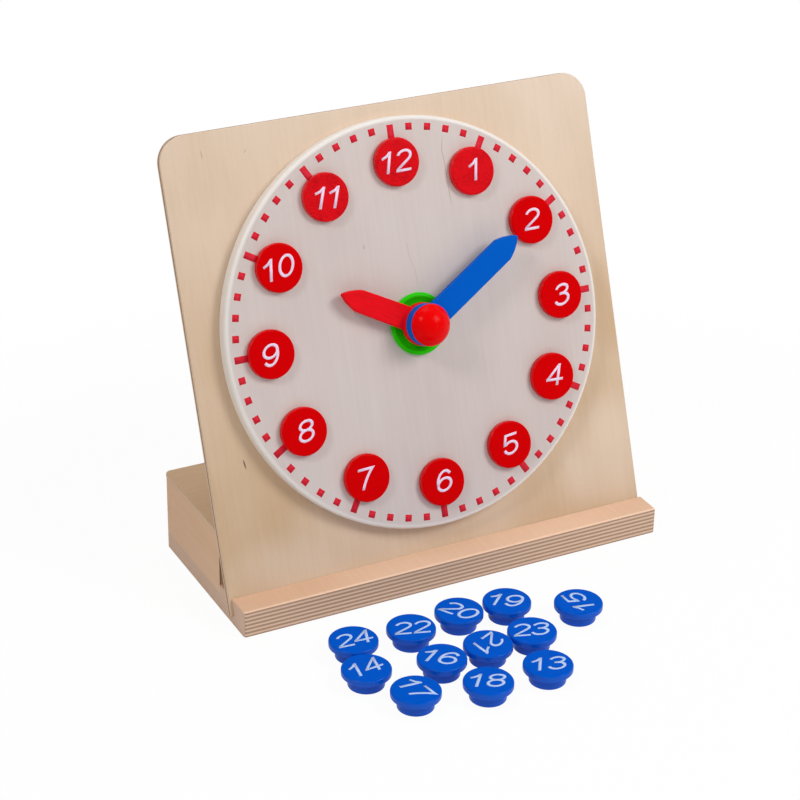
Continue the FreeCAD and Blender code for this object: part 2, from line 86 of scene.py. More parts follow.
class Socket:
    """A node's number output, with arithmetic that adds Math nodes."""

    def __init__(self, nodes: "Nodes", link: bpy.types.NodeSocket) -> None:
        """Keeps the nodes that it belongs to, and the output socket."""
        self.nodes = nodes
        self.link = link

    def _math(self, operation: str, *values: "Socket | float") -> "Socket":
        """Adds a Math node that works on the values in order."""
        node = self.nodes.node("ShaderNodeMath", {"operation": operation}, dict(enumerate(values)))
        return Socket(self.nodes, node.outputs[0])

    def __add__(self, other: "Socket | float") -> "Socket":
        """Sum."""
        return self._math("ADD", self, other)

    __radd__ = __add__

    def __sub__(self, other: "Socket | float") -> "Socket":
        """Difference."""
        return self._math("SUBTRACT", self, other)

    def __rsub__(self, other: float) -> "Socket":
        """Difference from a number."""
        return self._math("SUBTRACT", other, self)

    def __mul__(self, other: "Socket | float") -> "Socket":
        """Product."""
        return self._math("MULTIPLY", self, other)

    __rmul__ = __mul__

    def __truediv__(self, other: "Socket | float") -> "Socket":
        """Quotient."""
        return self._math("DIVIDE", self, other)

    def __abs__(self) -> "Socket":
        """Size without sign."""
        return self._math("ABSOLUTE", self)

    def floor(self) -> "Socket":
        """Whole part."""
        return self._math("FLOOR", self)

    def modulo(self, other: float) -> "Socket":
        """Remainder that never goes negative."""
        return self._math("FLOORED_MODULO", self, other)

    def above(self, limit: float) -> "Socket":
        """1 where the value is over the limit, else 0."""
        return self._math("GREATER_THAN", self, limit)

    def root(self) -> "Socket":
        """Square root."""
        return self._math("SQRT", self)

    def ease(self, low: float, high: float, bottom: float = 0.0, top: float = 1.0) -> "Socket":
        """Smooth step from bottom at low to top at high.

        Args:
            low: value where the step starts.
            high: value where it ends.
            bottom: result below the step.
            top: result above the step.

        Returns:
            The eased value.
        """
        node = self.nodes.node(
            "ShaderNodeMapRange",
            {"interpolation_type": "SMOOTHSTEP"},
            {"Value": self, "From Min": low, "From Max": high, "To Min": bottom, "To Max": top},
        )
        return Socket(self.nodes, node.outputs[0])


class Nodes:
    """A node tree under construction."""

    def __init__(self, tree: bpy.types.NodeTree) -> None:
        """Keeps the tree that the nodes go to."""
        self.tree = tree

    def node(self, kind: str, settings: dict | None = None, values: dict | None = None) -> bpy.types.Node:
        """Adds a node.

        Args:
            kind: the node's type.
            settings: the node's own settings, set first; stops is a ramp's list of place and colour.
            values: numbers, colours, vectors or links by the name or number of their socket.

        Returns:
            The node.
        """
        made = self.tree.nodes.new(kind)
        for key, value in (settings or {}).items():
            if key == "stops":
                elements = made.color_ramp.elements
                while len(elements) < len(value):
                    elements.new(0.5)
                for element, (place, colour) in zip(elements, value):
                    element.position = place
                    element.color = (*colour, 1.0)
            else:
                setattr(made, key, value)
        for key, value in (values or {}).items():
            self.put(made.inputs[key], value)
        return made

    def put(self, target: bpy.types.NodeSocket, value: object) -> None:
        """Links or sets one input socket.

        Args:
            target: the input socket.
            value: an output to link, or a number, colour or vector to set.
        """
        if isinstance(value, Socket):
            self.tree.links.new(value.link, target)
        elif isinstance(value, bpy.types.NodeSocket):
            self.tree.links.new(value, target)
        elif isinstance(value, (tuple, list)) and len(value) == 3 and target.type == "RGBA":
            target.default_value = (*value, 1.0)
        else:
            target.default_value = value

    def seen(self) -> Socket:
        """Tells the rays that show the object from those that only light it.

        Returns:
            1 for rays from the camera, off a gloss or through glass, else 0.
        """
        rays = self.node("ShaderNodeLightPath").outputs
        camera, gloss, glass = (
            Socket(self, rays[name]) for name in ("Is Camera Ray", "Is Glossy Ray", "Is Transmission Ray")
        )
        return (camera + gloss + glass).above(0.5)


class Shader(Nodes):
    """One material under construction: a Principled shader and the nodes that feed it."""

    def __init__(self, name: str) -> None:
        """Makes an empty material with a Principled shader and its output.

        Args:
            name: the material's name.
        """
        self.material = bpy.data.materials.new(name)
        self.material.use_nodes = True
        super().__init__(self.material.node_tree)
        self.tree.nodes.clear()
        self.principled = self.node("ShaderNodeBsdfPrincipled")
        surface = {"Surface": self.principled.outputs["BSDF"]}
        self.output = self.node("ShaderNodeOutputMaterial", values=surface)

    def place(self) -> bpy.types.NodeSocket:
        """Object coordinates."""
        return self.node("ShaderNodeTexCoord").outputs["Object"]

    def facing(self, direction: Sequence[float]) -> Socket:
        """How squarely the surface faces a direction, either way round."""
        normal = self.node("ShaderNodeTexCoord").outputs["Normal"]
        return abs(self.along(normal, direction))

    def vectors(self, operation: str, values: dict) -> bpy.types.Node:
        """Adds a Vector Math node."""
        return self.node("ShaderNodeVectorMath", {"operation": operation}, values)

    def along(self, vector: bpy.types.NodeSocket, direction: Sequence[float]) -> Socket:
        """A vector's part along a direction."""
        node = self.vectors("DOT_PRODUCT", {0: vector, 1: tuple(direction)})
        return Socket(self, node.outputs["Value"])

    def combine(self, x: Socket | float, y: Socket | float, z: Socket | float) -> bpy.types.NodeSocket:
        """Three numbers as one vector."""
        return self.node("ShaderNodeCombineXYZ", values={0: x, 1: y, 2: z}).outputs[0]

    def noise(
        self, vector: bpy.types.NodeSocket, scale: float = 1.0, detail: float = 3.0, rough: float = 0.6
    ) -> Socket:
        """Fractal noise about 0.5 on a vector."""
        values = {"Vector": vector, "Scale": scale, "Detail": detail, "Roughness": rough}
        return Socket(self, self.node("ShaderNodeTexNoise", values=values).outputs[0])

    def mix(self, share: Socket | float, low: object, high: object) -> bpy.types.NodeSocket:
        """Colour between low and high."""
        node = self.node("ShaderNodeMix", {"data_type": "RGBA"}, {0: share, 6: low, 7: high})
        return node.outputs[2]

    def relief(self, height: Socket, distance: float, strength: float) -> None:
        """Feeds a Bump node into the normal."""
        values = {"Height": height, "Distance": distance, "Strength": strength}
        self.set("Normal", self.node("ShaderNodeBump", values=values).outputs[0])

    def sheen(self, wander: Socket, mean: float, spread: float, specular: float = 0.5) -> None:
        """Roughness that wanders about its mean with a noise, and the strength of the mirrored light."""
        self.set("Roughness", wander * spread + (mean - spread / 2))
        self.set("Specular IOR Level", specular)

    def set(self, name: str, value: object) -> None:
        """Sets or links a socket of the Principled shader."""
        self.put(self.principled.inputs[name], value)


@dataclass(frozen=True)
class Mark:
    """An oval patch in a board's face, by its middle and half sizes along and across the grain.

    tone is what it adds at its middle, and lean how far it shifts across the grain per metre along it.
    """

    along: float
    across: float
    half_length: float
    half_width: float
    tone: float
    lean: float = 0.0

    def mask(self, along: Socket, across: Socket) -> Socket:
        """Soft ellipse about the mark's middle, sheared by its lean.

        Args:
            along: place along the grain.
            across: place across the grain.

        Returns:
            The tone at the middle, falling to 0 at the ellipse.
        """
        a = (along - self.along) / self.half_length
        b = (across - self.across - (along - self.along) * self.lean) / self.half_width
        return (a * a + b * b).ease(low=0.0, high=1.0, bottom=self.tone, top=0.0)


@dataclass(frozen=True)
class Grain:
    """Noise with its own cells per metre on three axes, which draws it out along the wood."""

    x: float
    y: float
    z: float = 1.0
    detail: float = 3.0
    rough: float = 0.6

    def tone(self, shader: Shader, x: Socket, y: Socket, z: Socket | float) -> Socket:
        """The noise at a place, about 0.5."""
        place = shader.combine(x * self.x, y * self.y, z * self.z)
        return shader.noise(place, detail=self.detail, rough=self.rough)


# The boards' grain, and that of the dial's paint.
STREAKS = Grain(22.0, 320.0, 40.0)
PORES = Grain(240.0, 2600.0, 900.0, detail=1.0, rough=0.5)
FIBRES = Grain(130.0, 130.0, 2400.0)
FIGURE = Grain(7.0, 24.0, rough=0.55)
CLOUDS = Grain(3.2, 5.5, detail=2.0, rough=0.5)
PAINT_CLOUDS = Grain(16.0, 6.0, rough=0.55)
PAINT_STREAKS = Grain(420.0, 14.0)
# How squarely a face must look along the grain to show the ends of the fibres.
END_ON = 0.7
# Shares of the streaks, the pores and the layers in a board's relief.
STREAK_RELIEF, PORE_RELIEF, LAYER_RELIEF = 0.6, 0.4, 0.8


@dataclass(frozen=True)
class Board:
    """A plywood board: its outer face, its layers and the colour of its wood.

    level is the face's mean tone from pale to warm, drift how much it grows per metre along the grain, and
    figure, streak and cloud how strongly the three sorts of grain show. A drift that warms the face towards
    its foot is painted shade there. washes shift the tone in oval patches, partly painted light
    and shade, marks darken small spots, and pore_tone is how far the pores darken the face. The edge's
    layers differ by end_contrast across the grain and by side_contrast along it, where the tone is shifted
    by side_level. Their borders wander by layer_wander of a layer, and fibres of fibre_tone vary them about
    edge_level.
    """

    name: str
    face: Vector
    normal: Vector
    grain: Vector
    thickness: float
    plies: int
    pale: Colour = srgb(226, 202, 174)
    warm: Colour = srgb(208, 178, 146)
    edge_pale: Colour = srgb(218, 186, 156)
    edge_dark: Colour = srgb(150, 116, 88)
    mark_colour: Colour = srgb(96, 70, 52)
    level: float = 0.5
    drift: float = 0.0
    figure: float = 0.9
    streak: float = 0.5
    cloud: float = 0.9
    end_contrast: float = 0.7
    side_contrast: float = 0.7
    side_level: float = 0.0
    pore_tone: float = 0.14
    layer_wander: float = 0.16
    fibre_tone: float = 0.4
    edge_level: float = 0.3
    washes: tuple[Mark, ...] = ()
    marks: tuple[Mark, ...] = ()
    seed: float = 0.0

    def material(self) -> bpy.types.Material:
        """Birch plywood: figure and pores on the faces, alternating layers on the edges.

        Returns:
            The material.
        """
        shader = Shader(self.name)
        place = shader.place()
        across_axis = self.normal.cross(self.grain)
        spot = shader.along(place, self.grain) - self.face.dot(self.grain)
        along = spot + self.seed
        across = shader.along(place, across_axis) - self.face.dot(across_axis)
        depth = self.face.dot(self.normal) - shader.along(place, self.normal)
        streak = STREAKS.tone(shader, along, across, depth)
        pores = PORES.tone(shader, along, across, depth)
        face_colour = shader.mix(self.face_tone(shader, spot, across, streak), self.pale, self.warm)
        pored = pores.ease(low=0.66, high=0.8, top=self.pore_tone)
        face_colour = shader.mix(pored, face_colour, self.edge_dark)
        for mark in self.marks:
            face_colour = shader.mix(mark.mask(spot, across), face_colour, self.mark_colour)
        layer = depth * (self.plies / self.thickness) + streak * self.layer_wander - self.layer_wander / 2
        end_on = shader.facing(self.grain).above(END_ON)
        dark = abs(layer.floor().modulo(2.0) - end_on)
        fibre = FIBRES.tone(shader, along, across, depth) * self.fibre_tone
        contrast = end_on * (self.end_contrast - self.side_contrast) + self.side_contrast
        edge_tone = (dark - 0.5) * contrast + fibre + (1.0 - end_on) * self.side_level + self.edge_level
        edge_colour = shader.mix(edge_tone, self.edge_pale, self.edge_dark)
        on_face = shader.facing(self.normal).ease(low=0.55, high=0.8)
        shader.set("Base Color", shader.mix(on_face, edge_colour, face_colour))
        shader.sheen(streak, mean=0.58, spread=0.16, specular=0.2)
        grooves = dark * LAYER_RELIEF * (1.0 - on_face)
        height = streak * STREAK_RELIEF + pores * PORE_RELIEF - grooves
        shader.relief(height, distance=0.06 * MM, strength=0.5)
        return shader.material

    def face_tone(self, shader: Shader, spot: Socket, across: Socket, streak: Socket) -> Socket:
        """The face's tone from pale to warm: drift, figure, streaks, clouds, and patches that are partly
        painted light and shade.

        Args:
            shader: the material under construction.
            spot: place along the grain.
            across: place across the grain.
            streak: fine noise drawn out along the grain.

        Returns:
            The tone, 0 pale and 1 warm.
        """
        along = spot + self.seed
        figure = FIGURE.tone(shader, along, across, self.seed)
        cloud = CLOUDS.tone(shader, along, across, self.seed)
        middle = self.level - (self.figure + self.streak + self.cloud) / 2
        # A drift that warms the face towards its foot paints shade there; the patches below add lighter and
        # darker tone, partly painted light and shade.
        tone = figure * self.figure + streak * self.streak + cloud * self.cloud + spot * self.drift + middle
        for tone_patch in self.washes:
            tone = tone + tone_patch.mask(spot, across)
        return tone


@dataclass(frozen=True)
class Crack:
    """A crack in the dial's paint: its corners (right, up) from top to bottom, half width and tone."""

    corners: tuple[tuple[float, float], ...]
    half_width: float
    tone: float
    least_span: float = 0.01 * MM

    def mask(self, shader: Shader, right: Socket, up: Socket) -> Socket:
        """Thin line through the corners: a ramp gives the line's place across for each height.

        Args:
            shader: the material under construction.
            right: place across the dial.
            up: place up the dial.

        Returns:
            The tone on the line and 0 off it.
        """
        across = [corner[0] for corner in self.corners]
        low, high = self.corners[-1][1], self.corners[0][1]
        left, span = min(across), max(across) - min(across) + self.least_span
        stops = [((y - low) / (high - low), ((x - left) / span,) * 3) for x, y in reversed(self.corners)]
        share = (up - low) / (high - low)
        ramp = shader.node("ShaderNodeValToRGB", {"stops": stops}, {"Fac": share})
        line = shader.along(ramp.outputs["Color"], (span, 0.0, 0.0)) + left
        reach = abs(share - 0.5).ease(low=0.38, high=0.5, bottom=1.0, top=0.0)
        return abs(right - line).ease(0.0, self.half_width, bottom=self.tone, top=0.0) * reach


@dataclass(frozen=True)
class DialFrame:
    """The dial's own axes: right, up along the panel and out of the face."""

    centre: Vector
    out: Vector

    @property
    def right(self) -> Vector:
        """Along X, to the viewer's right."""
        return Vector((1.0, 0.0, 0.0))

    @property
    def up(self) -> Vector:
        """Up the leaning panel."""
        return self.out.cross(self.right)

    def place(self, points: np.ndarray) -> np.ndarray:
        """Carries points from the dial's axes to the row frame.

        Args:
            points: rows of right, up and out.

        Returns:
            The same points in the row frame.
        """
        axes = np.array([self.right, self.up, self.out], float)
        return points @ axes + np.array(self.centre, float)


@dataclass(frozen=True)
class DialPaint:
    """Warm white paint with a painted highlight on its rounded outer edge, and a few cracks along the wood's
    grain.

    cloud and streak are how strongly its two sorts of grain show, and shift is taken off their sum.
    """

    frame: DialFrame
    light: Colour = srgb(217, 205, 200)
    shade: Colour = srgb(207, 193, 188)
    # Painted highlight: the paint turns lighter between these two radii, standing in for the light that the
    # rounded outer edge catches.
    rim: Colour = srgb(240, 234, 228)
    rim_from: float = 128.5 * MM
    rim_to: float = 131.0 * MM
    crack: Colour = srgb(140, 126, 116)
    cracks: tuple[Crack, ...] = (
        Crack(
            (
                (0.0361, 0.1159), (0.0338, 0.1065), (0.0348, 0.0966),
                (0.0348, 0.0863), (0.0353, 0.0754), (0.0359, 0.0688),
            ),
            half_width=0.5 * MM, tone=0.5,
        ),
        Crack(
            ((0.0003, 0.0542), (0.0007, 0.0439), (0.0034, 0.0338), (0.0042, 0.0240)),
            half_width=0.5 * MM, tone=0.22,
        ),
        Crack(((-0.0294, 0.0556), (-0.0296, 0.0528)), half_width=0.7 * MM, tone=0.5),
    )
    cloud: float = 0.9
    streak: float = 0.5
    shift: float = 0.2

    def material(self) -> bpy.types.Material:
        """Paint that varies along the grain, with thin darker cracks and a painted highlight on the rounded
        outer edge.

        Returns:
            The material.
        """
        shader = Shader("dial_paint")
        place = shader.place()
        right = shader.along(place, self.frame.right) - self.frame.centre.dot(self.frame.right)
        up = shader.along(place, self.frame.up) - self.frame.centre.dot(self.frame.up)
        cloud = PAINT_CLOUDS.tone(shader, right, up, z=0.0)
        streak = PAINT_STREAKS.tone(shader, right, up, z=0.3)
        tone = (cloud * self.cloud + streak * self.streak - self.shift).ease(low=0.1, high=0.9)
        colour = shader.mix(tone, self.light, self.shade)
        for line in self.cracks:
            colour = shader.mix(line.mask(shader, right, up), colour, self.crack)
        radius = (right * right + up * up).root()
        # Painted highlight, lighter towards the dial's rounded outer edge.
        colour = shader.mix(radius.ease(self.rim_from, self.rim_to), colour, self.rim)
        shader.set("Base Color", colour)
        shader.sheen(streak, mean=0.38, spread=0.2, specular=0.3)
        shader.relief(streak, distance=0.03 * MM, strength=0.3)
        return shader.material


@dataclass(frozen=True)
class Gloss:
    """Moulded or lacquered plastic with a faint skin texture.

    speckle is how far the colour strays towards the dark one, fine_share how much of that is fine texture,
    grain the texture's fineness, and fibre the direction in which it is drawn out. Where the surface turns
    away from polished it has a gloss coat.
    """

    name: str
    colour: Colour
    dark: Colour
    roughness: float = 0.3
    speckle: float = 0.25
    grain: float = 1500.0
    depth: float = 0.03 * MM
    specular: float = 0.3
    fine_share: float = 0.7
    fibre: Vector | None = None
    drawn_share: float = 0.92
    polished: Vector | None = None
    coat: float = 0.5
    coat_roughness: float = 0.22

    def material(self) -> bpy.types.Material:
        """Even colour with fine speckles, and a roughness that varies with them.

        Returns:
            The material.
        """
        shader = Shader(self.name)
        place = shader.place()
        drawn = place
        if self.fibre is not None:
            length = shader.along(place, self.fibre) * self.drawn_share
            shift = shader.vectors("SCALE", {0: tuple(self.fibre), "Scale": length})
            drawn = shader.vectors("SUBTRACT", {0: place, 1: shift.outputs[0]}).outputs[0]
        fine = shader.noise(drawn, self.grain, rough=0.65)
        broad = shader.noise(place, scale=90.0, detail=2.0, rough=0.5)
        speckles = fine * self.fine_share + broad * (1.0 - self.fine_share)
        share = speckles.ease(low=0.42, high=0.72, top=self.speckle)
        shader.set("Base Color", shader.mix(share, self.colour, self.dark))
        shader.sheen(fine, self.roughness, spread=0.14, specular=self.specular)
        if self.polished is not None:
            turned_away = shader.facing(self.polished).ease(low=0.3, high=0.97, bottom=self.coat, top=0.0)
            shader.set("Coat Weight", turned_away)
            shader.set("Coat Roughness", self.coat_roughness)
        shader.relief(fine, self.depth, strength=0.5)
        return shader.material


@dataclass(frozen=True)
class Metal:
    """Bare or plated metal with fine brushing along one axis."""

    name: str
    colour: Colour
    roughness: float
    brushing: tuple[float, float, float] = (900.0, 60.0, 900.0)
    dimming: float = 0.72

    def material(self) -> bpy.types.Material:
        """Brushed metal: streaks vary the colour, roughness and relief.

        Returns:
            The material.
        """
        shader = Shader(self.name)
        stretched = shader.vectors("MULTIPLY", {0: shader.place(), 1: self.brushing}).outputs[0]
        streak = shader.noise(stretched)
        dim = tuple(channel * self.dimming for channel in self.colour)
        shader.set("Base Color", shader.mix(streak.ease(low=0.35, high=0.75, top=0.6), self.colour, dim))
        shader.set("Metallic", 1.0)
        shader.sheen(streak, self.roughness, spread=0.2)
        shader.relief(streak, distance=0.01 * MM, strength=0.4)
        return shader.material


@dataclass(frozen=True)
class Print:
    """Screen-printed ink, slightly uneven."""

    name: str
    colour: Colour
    worn: Colour

    def material(self) -> bpy.types.Material:
        """Flat ink whose tone wanders a little.

        Returns:
            The material.
        """
        shader = Shader(self.name)
        patch = shader.noise(shader.place(), scale=420.0)
        share = patch.ease(low=0.4, high=0.75, top=0.55)
        shader.set("Base Color", shader.mix(share, self.colour, self.worn))
        shader.sheen(patch, mean=0.45, spread=0.2, specular=0.1)
        return shader.material


class Finish(Protocol):
    """Anything that makes a material."""

    def material(self) -> bpy.types.Material:
        """The material."""


def dress(piece: bpy.types.Object, material: bpy.types.Material) -> None:
    """Gives an object one material on all its faces."""
    piece.data.materials.clear()
    piece.data.materials.append(material)


def dress_all(nodes: dict[str, bpy.types.Object], names: Iterable[str], finish: Finish) -> None:
    """Gives several nodes one finish.

    Args:
        nodes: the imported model's nodes by name.
        names: the nodes to dress.
        finish: what they are given.
    """
    material = finish.material()
    for name in names:
        dress(nodes[name], material)
        LOG.info("dressed %s in %s", name, material.name)


def make_mesh(name: str, points: np.ndarray, quads: np.ndarray) -> bpy.types.Object:
    """Makes an object from arrays of points and four-cornered faces.

    Args:
        name: the object's name.
        points: one row of x, y, z for each vertex.
        quads: one row of four vertex numbers for each face.

    Returns:
        The object, at the origin.
    """
    mesh = bpy.data.meshes.new(name)
    mesh.vertices.add(len(points))
    mesh.vertices.foreach_set("co", points.astype(np.float32).ravel())
    mesh.loops.add(quads.size)
    mesh.loops.foreach_set("vertex_index", quads.astype(np.int32).ravel())
    mesh.polygons.add(len(quads))
    mesh.polygons.foreach_set("loop_start", np.arange(0, quads.size, 4, dtype=np.int32))
    mesh.update(calc_edges=True)
    mesh.validate()
    made = bpy.data.objects.new(name, mesh)
    bpy.context.scene.collection.objects.link(made)
    LOG.info("made %s with %d faces", name, len(quads))
    return made


def ribbon(path: np.ndarray, width: float, low: float, high: float) -> tuple[np.ndarray, np.ndarray]:
    """Carries a rectangle along a flat path, mitred at its corners.

    Each station has four corners: half the width to the left and right of the path, at the low and the high
    level. A closed path ends on its first point.

    Args:
        path: rows of x, y.
        width: the ribbon's width.
        low: level of its underside.
        high: level of its top.

    Returns:
        Points and four-cornered faces that point outwards.
    """
    closed = bool(np.allclose(path[0], path[-1]))
    if closed:
        path = path[:-1]
    steps = np.roll(path, -1, axis=0) - path
    if not closed:
        steps[-1] = steps[-2]
    steps /= np.linalg.norm(steps, axis=1, keepdims=True)
    before = np.roll(steps, 1, axis=0)
    if not closed:
        before[0] = steps[0]
    left = np.stack([-steps[:, 1], steps[:, 0]], axis=1)
    mean = left + np.stack([-before[:, 1], before[:, 0]], axis=1)
    mitre = mean / np.sum(mean * left, axis=1, keepdims=True)
    left_side, right_side = path + mitre * width / 2, path - mitre * width / 2
    corners = ((left_side, low), (right_side, low), (right_side, high), (left_side, high))
    rows = [np.column_stack([side, np.full(len(path), level)]) for side, level in corners]
    points = np.stack(rows, axis=1).reshape(-1, 3)
    count = len(path)
    here = np.arange(count if closed else count - 1)
    there = (here + 1) % count
    quads = [
        np.stack([here * 4 + a, here * 4 + b, there * 4 + b, there * 4 + a], axis=1)
        for a, b in ((0, 1), (1, 2), (2, 3), (3, 0))
    ]
    if not closed:
        last = (count - 1) * 4
        quads.append(np.array([[3, 2, 1, 0], [last, last + 1, last + 2, last + 3]]))
    return points, np.concatenate(quads)


def join_shapes(shapes: Iterable[tuple[np.ndarray, np.ndarray]]) -> tuple[np.ndarray, np.ndarray]:
    """Stacks several shapes into one set of points and faces.

    Args:
        shapes: pairs of points and faces.

    Returns:
        All points, and all faces with their numbers moved on.
    """
    points, quads, start = [], [], 0
    for some, faces in shapes:
        points.append(some)
        quads.append(faces + start)
        start += len(some)
    return np.concatenate(points), np.concatenate(quads)


def bow(x: float, y: float, wide: float, tall: float, first: float, last: float) -> np.ndarray:
    """Part of an ellipse: x + wide cos a, y + tall sin a.

    Args:
        x: the ellipse's middle across.
        y: its middle up.
        wide: its half width.
        tall: its half height.
        first: the angle a at the start, in degrees.
        last: the angle a at the end.

    Returns:
        Points along the arc.
    """
    steps = max(ARC_LEAST, int(abs(last - first) / ARC_STEP))
    angle = np.radians(np.linspace(first, last, steps + 1))
    return np.column_stack([x + wide * np.cos(angle), y + tall * np.sin(angle)])


def straight(*corners: tuple[float, float]) -> np.ndarray:
    """A path through corners."""
    return np.array(corners, float)


@dataclass(frozen=True)
class Numerals:
    """Slanted light numerals drawn with a pen that is wider across than up, as shares of their height."""

    height: float = 13.7 * MM
    pen_share: float = 0.118
    pen_stretch: float = 1.17
    slant: float = 0.253
    sink: float = 0.04 * MM
    rise: float = 0.05 * MM
    rise_step: float = 0.004 * MM
    leg_points: int = 9

    def strokes(self, digit: int) -> list[np.ndarray]:
        """Centre lines of an upright digit's strokes in a box about 0.75 wide and 1 high.

        Args:
            digit: 0 to 9.

        Returns:
            One path for each stroke.
        """
        if digit == 9:
            return [np.array([0.745, 1.0]) - path for path in self.strokes(6)]
        arc_to_foot = np.vstack([bow(0.40, 0.70, 0.325, 0.245, 170, -38), [[0.12, 0.11]]])
        curl = np.vstack([bow(0.375, 0.48, 0.36, 0.465, 38, 180), [[0.035, 0.31]]])
        flag = straight((0.70, 0.925), (0.10, 0.925), (0.065, 0.50))
        bend = np.linspace(0, 1, self.leg_points)[:, None]
        leg = (1 - bend) ** 2 * [0.71, 0.94] + 2 * bend * (1 - bend) * [0.40, 0.55] + bend**2 * [0.30, 0.0]
        table = {
            0: [bow(0.40, 0.5, 0.335, 0.445, 0, 360)],
            1: [straight((0.39, 0.0), (0.39, 1.0)), straight((0.38, 0.95), (0.25, 0.80), (0.01, 0.69))],
            2: [arc_to_foot, straight((0.06, 0.055), (0.83, 0.055))],
            3: [
                np.vstack([bow(0.37, 0.75, 0.31, 0.20, 168, -90), [[0.24, 0.55]]]),
                bow(0.37, 0.30, 0.355, 0.25, 90, -170),
            ],
            4: [
                straight((0.577, 0.0), (0.577, 1.0)),
                straight((0.56, 0.94), (0.02, 0.30)),
                straight((-0.05, 0.28), (0.86, 0.28)),
            ],
            5: [np.vstack([flag, bow(0.40, 0.325, 0.335, 0.275, 140, -165)])],
            6: [bow(0.375, 0.33, 0.345, 0.28, 0, 360), curl],
            7: [np.vstack([[[-0.04, 0.94]], leg])],
            8: [bow(0.367, 0.74, 0.315, 0.205, 0, 360), bow(0.38, 0.295, 0.34, 0.24, 0, 360)],
        }
        return table[digit]

    def number(self, value: int, step_share: float) -> tuple[np.ndarray, np.ndarray]:
        """A number's slab, slanted and centred on zero, lying in the xy plane.

        Args:
            value: the number to write.
            step_share: how far its second digit stands to the right of its first.

        Returns:
            Points and faces.
        """
        shapes = []
        pen = self.pen_share * self.height
        for index, digit in enumerate(str(value)):
            for path in self.strokes(int(digit)):
                top = self.rise + len(shapes) * self.rise_step
                narrow = path * [self.height / self.pen_stretch, self.height]
                points, quads = ribbon(narrow, pen, -self.sink, top)
                points[:, 0] *= self.pen_stretch
                points[:, 0] += points[:, 1] * self.slant + index * step_share * self.height
                shapes.append((points, quads))
        points, quads = join_shapes(shapes)
        middle = (points.min(axis=0) + points.max(axis=0)) / 2
        points[:, :2] -= middle[:2]
        return points, quads


@dataclass(frozen=True)
class Stamp:
    """How a number is printed on its disc: turn in degrees, shift right and up in mm, step of its digits."""

    turn: float
    right: float
    up: float
    step: float = 0.0


STAMPS = {
    1: Stamp(5.2, 1.09, 0.67), 2: Stamp(-0.2, -0.35, 0.64), 3: Stamp(7.2, 0.19, 0.15),
    4: Stamp(-2.8, 0.62, 0.89), 5: Stamp(5.4, -0.03, 0.47), 6: Stamp(6.4, 0.71, 0.84),
    7: Stamp(2.2, -0.06, -0.04), 8: Stamp(7.6, 0.93, 0.32), 9: Stamp(7.7, -0.73, -0.18),
    10: Stamp(6.7, -0.48, 0.28, 0.764), 11: Stamp(-4.9, 0.67, -0.43, 0.717),
    12: Stamp(0.4, -0.25, 0.43, 0.752),
    13: Stamp(-18.3, 0.61, -0.68, 0.792), 14: Stamp(5.6, -0.07, 0.68, 0.769),
    15: Stamp(90.9, -0.01, 0.09, 0.802), 16: Stamp(-40.8, -0.51, 0.19, 0.820),
    17: Stamp(-80.0, 0.41, -0.88, 0.737), 18: Stamp(-25.5, 0.03, -0.09, 0.808),
    19: Stamp(-33.6, 0.04, 0.08, 0.774), 20: Stamp(-59.6, 0.12, -0.68, 0.879),
    21: Stamp(-156.5, 0.79, 0.26, 0.956), 22: Stamp(-17.6, 0.27, -1.20, 0.870),
    23: Stamp(-18.6, -0.31, 0.81, 0.885), 24: Stamp(-4.3, 0.07, 0.28, 0.876),
}


